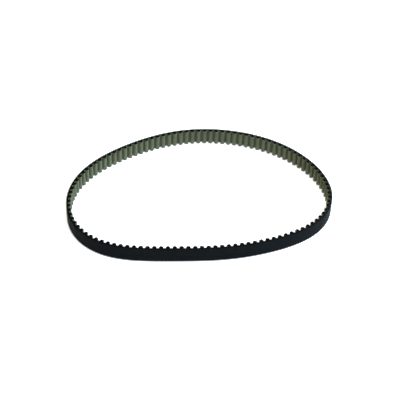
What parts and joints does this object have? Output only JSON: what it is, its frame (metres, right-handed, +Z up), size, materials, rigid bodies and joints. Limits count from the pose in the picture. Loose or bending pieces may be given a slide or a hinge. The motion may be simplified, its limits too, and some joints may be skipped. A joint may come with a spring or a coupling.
{
  "type": "timing belt",
  "caption": "Endless black rubber timing belt with round moulded teeth and a woven facing inside its loop, standing on one cut edge in its relaxed oval.",
  "frame": {"origin": "middle of the loop's box seen from above, at the level of the lower cut edge", "axes": "+X along the loop's length, +Y across it to the back, +Z up across the belt's width"},
  "size_m": [0.3266, 0.2264, 0.02],
  "materials": {
    "backing": "smooth matt black",
    "tensile_cord": "twisted glass cord",
    "tooth_rubber": "cut, matt black",
    "tooth_facing": "woven nylon, greenish grey"
  },
  "bodies": {
    "stretch_01": {"backing_01": "backing", "tensile_cord_01": "tensile_cord", "tooth_rubber_01": "tooth_rubber", "tooth_facing_01": "tooth_facing"},
    "stretch_02": {"backing_02": "backing", "tensile_cord_02": "tensile_cord", "tooth_rubber_02": "tooth_rubber", "tooth_facing_02": "tooth_facing"},
    "stretch_03": {"backing_03": "backing", "tensile_cord_03": "tensile_cord", "tooth_rubber_03": "tooth_rubber", "tooth_facing_03": "tooth_facing"},
    "stretch_04": {"backing_04": "backing", "tensile_cord_04": "tensile_cord", "tooth_rubber_04": "tooth_rubber", "tooth_facing_04": "tooth_facing"},
    "stretch_05": {"backing_05": "backing", "tensile_cord_05": "tensile_cord", "tooth_rubber_05": "tooth_rubber", "tooth_facing_05": "tooth_facing"},
    "stretch_06": {"backing_06": "backing", "tensile_cord_06": "tensile_cord", "tooth_rubber_06": "tooth_rubber", "tooth_facing_06": "tooth_facing"},
    "stretch_07": {"backing_07": "backing", "tensile_cord_07": "tensile_cord", "tooth_rubber_07": "tooth_rubber", "tooth_facing_07": "tooth_facing"},
    "stretch_08": {"backing_08": "backing", "tensile_cord_08": "tensile_cord", "tooth_rubber_08": "tooth_rubber", "tooth_facing_08": "tooth_facing"},
    "stretch_09": {"backing_09": "backing", "tensile_cord_09": "tensile_cord", "tooth_rubber_09": "tooth_rubber", "tooth_facing_09": "tooth_facing"},
    "stretch_10": {"backing_10": "backing", "tensile_cord_10": "tensile_cord", "tooth_rubber_10": "tooth_rubber", "tooth_facing_10": "tooth_facing"},
    "stretch_11": {"backing_11": "backing", "tensile_cord_11": "tensile_cord", "tooth_rubber_11": "tooth_rubber", "tooth_facing_11": "tooth_facing"},
    "stretch_12": {"backing_12": "backing", "tensile_cord_12": "tensile_cord", "tooth_rubber_12": "tooth_rubber", "tooth_facing_12": "tooth_facing"},
    "stretch_13": {"backing_13": "backing", "tensile_cord_13": "tensile_cord", "tooth_rubber_13": "tooth_rubber", "tooth_facing_13": "tooth_facing"}
  },
  "joints": [
    {"name": "bend_02", "type": "hinge", "parent": "stretch_01", "child": "stretch_02", "pos_m": [-0.0395, -0.11092, 0.01], "axis": [0, 0, 1], "range_deg": [-7.5, 7.5]},
    {"name": "bend_03", "type": "hinge", "parent": "stretch_02", "child": "stretch_03", "pos_m": [0.01633, -0.10679, 0.01], "axis": [0, 0, 1], "range_deg": [-9.5, 9.5]},
    {"name": "bend_04", "type": "hinge", "parent": "stretch_03", "child": "stretch_04", "pos_m": [0.07097, -0.09492, 0.01], "axis": [0, 0, 1], "range_deg": [-7.5, 7.5]},
    {"name": "bend_05", "type": "hinge", "parent": "stretch_04", "child": "stretch_05", "pos_m": [0.15429, -0.03725, 0.01], "axis": [0, 0, 1], "range_deg": [-4.5, 4.5]},
    {"name": "squeeze", "type": "hinge", "parent": "stretch_05", "child": "stretch_06", "pos_m": [0.15853, 0.01727, 0.01], "axis": [0, 0, 1], "range_deg": [-10, 10], "stiffness_Nm_per_rad": 0.4},
    {"name": "bend_07", "type": "hinge", "parent": "stretch_06", "child": "stretch_07", "pos_m": [0.13001, 0.06484, 0.01], "axis": [0, 0, 1], "range_deg": [-9, 9]},
    {"name": "bend_13", "type": "hinge", "parent": "stretch_01", "child": "stretch_13", "pos_m": [-0.13785, -0.08846, 0.01], "axis": [0, 0, -1], "range_deg": [-4, 4]},
    {"name": "bend_12", "type": "hinge", "parent": "stretch_13", "child": "stretch_12", "pos_m": [-0.16132, -0.0389, 0.01], "axis": [0, 0, -1], "range_deg": [-10.5, 10.5]},
    {"name": "bend_11", "type": "hinge", "parent": "stretch_12", "child": "stretch_11", "pos_m": [-0.15097, 0.01538, 0.01], "axis": [0, 0, -1], "range_deg": [-10, 10]},
    {"name": "bend_10", "type": "hinge", "parent": "stretch_11", "child": "stretch_10", "pos_m": [-0.06983, 0.09017, 0.01], "axis": [0, 0, -1], "range_deg": [-7.5, 7.5]},
    {"name": "bend_09", "type": "hinge", "parent": "stretch_10", "child": "stretch_09", "pos_m": [-0.02518, 0.1074, 0.01], "axis": [0, 0, -1], "range_deg": [-10.5, 10.5]},
    {"name": "bend_08", "type": "hinge", "parent": "stretch_09", "child": "stretch_08", "pos_m": [0.03047, 0.11081, 0.01], "axis": [0, 0, -1], "range_deg": [-6.5, 6.5]}
  ],
  "couplings": [
    {"joint": "bend_02", "follows": "squeeze", "ratio": -0.6991},
    {"joint": "bend_03", "follows": "squeeze", "ratio": -0.8947},
    {"joint": "bend_04", "follows": "squeeze", "ratio": -0.6942},
    {"joint": "bend_05", "follows": "squeeze", "ratio": 0.41},
    {"joint": "bend_07", "follows": "squeeze", "ratio": 0.8898},
    {"joint": "bend_13", "follows": "squeeze", "ratio": 0.3645},
    {"joint": "bend_12", "follows": "squeeze", "ratio": 1.0235},
    {"joint": "bend_11", "follows": "squeeze", "ratio": 0.9409},
    {"joint": "bend_10", "follows": "squeeze", "ratio": -0.7008},
    {"joint": "bend_09", "follows": "squeeze", "ratio": -1.0267},
    {"joint": "bend_08", "follows": "squeeze", "ratio": -0.6132}
  ]
}
